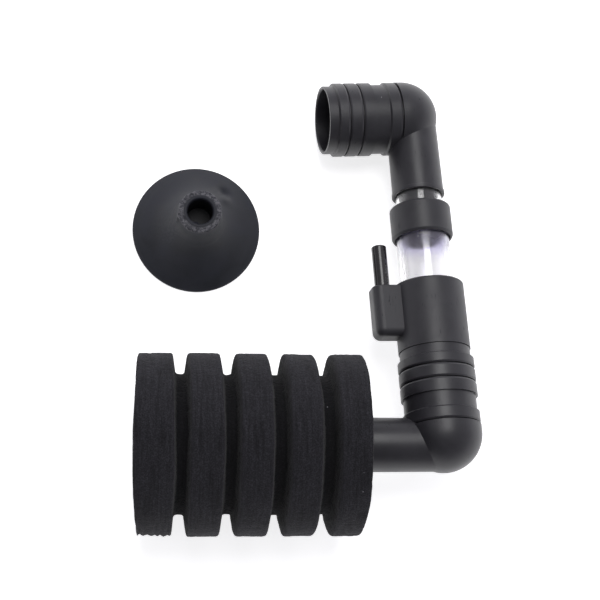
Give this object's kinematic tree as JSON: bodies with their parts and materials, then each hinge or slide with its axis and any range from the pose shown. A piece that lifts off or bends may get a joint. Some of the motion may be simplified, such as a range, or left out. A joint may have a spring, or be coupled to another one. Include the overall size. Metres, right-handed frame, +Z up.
{
  "type": "sponge filter",
  "caption": "Air-driven aquarium filter: grooved foam cylinder on a slotted strainer, barbed elbows, air injector, telescopic clear riser and loose suction cup.",
  "frame": {"origin": "middle of the bottom of the box around the filter and its suction cup, on the surface they lie on", "axes": "+X along the foam's axis towards the base elbow; +Y along the riser towards the outlet elbow; +Z up"},
  "size_m": [0.117, 0.162, 0.06],
  "materials": {
    "foam": "open-cell foam, matte",
    "elbow_plastic": "satin moulded plastic",
    "injector_plastic": "fine matte moulded plastic",
    "strainer_plastic": "satin moulded plastic",
    "inlet_plastic": "glossy extruded tube",
    "clear_tube": "clear extruded tube",
    "cup_rubber": "smooth soft rubber, paler where worn"
  },
  "bodies": {
    "strainer": {"strainer_tube": "strainer_plastic", "strainer_end_cap": "strainer_plastic"},
    "foam": {"foam_sponge": "foam"},
    "base_elbow": {"base_elbow": "elbow_plastic"},
    "injector": {"air_injector": "injector_plastic", "air_inlet": "inlet_plastic", "outer_riser_tube": "clear_tube", "riser_collar": "injector_plastic"},
    "telescopic_tube": {"inner_riser_tube": "clear_tube"},
    "outlet_elbow": {"outlet_elbow": "elbow_plastic"},
    "suction_cup": {"suction_cup": "cup_rubber"}
  },
  "joints": [
    {"name": "foam_pull_off", "type": "slide", "parent": "strainer", "child": "foam", "axis": [-1, 0, 0], "range_m": [0, 0.075]},
    {"name": "base_elbow_swivel", "type": "hinge", "parent": "strainer", "child": "base_elbow", "pos_m": [0.01713, -0.05098, 0.03], "axis": [1, 0, 0], "continuous": true},
    {"name": "injector_swivel", "type": "hinge", "parent": "base_elbow", "child": "injector", "pos_m": [0.04553, -0.05098, 0.03], "axis": [-0.0436, 0.9888, -0.1428], "continuous": true},
    {"name": "riser_telescope", "type": "slide", "parent": "injector", "child": "telescopic_tube", "axis": [-0.0436, 0.9888, -0.1428], "range_m": [-0.004, 0.025]},
    {"name": "outlet_swivel", "type": "hinge", "parent": "telescopic_tube", "child": "outlet_elbow", "pos_m": [0.04028, 0.06817, 0.01279], "axis": [-0.0436, 0.9888, -0.1428], "continuous": true},
    {"name": "suction_cup_lift", "type": "slide", "parent": "strainer", "child": "suction_cup", "axis": [0, 0, 1], "range_m": [0, 0.06]}
  ]
}
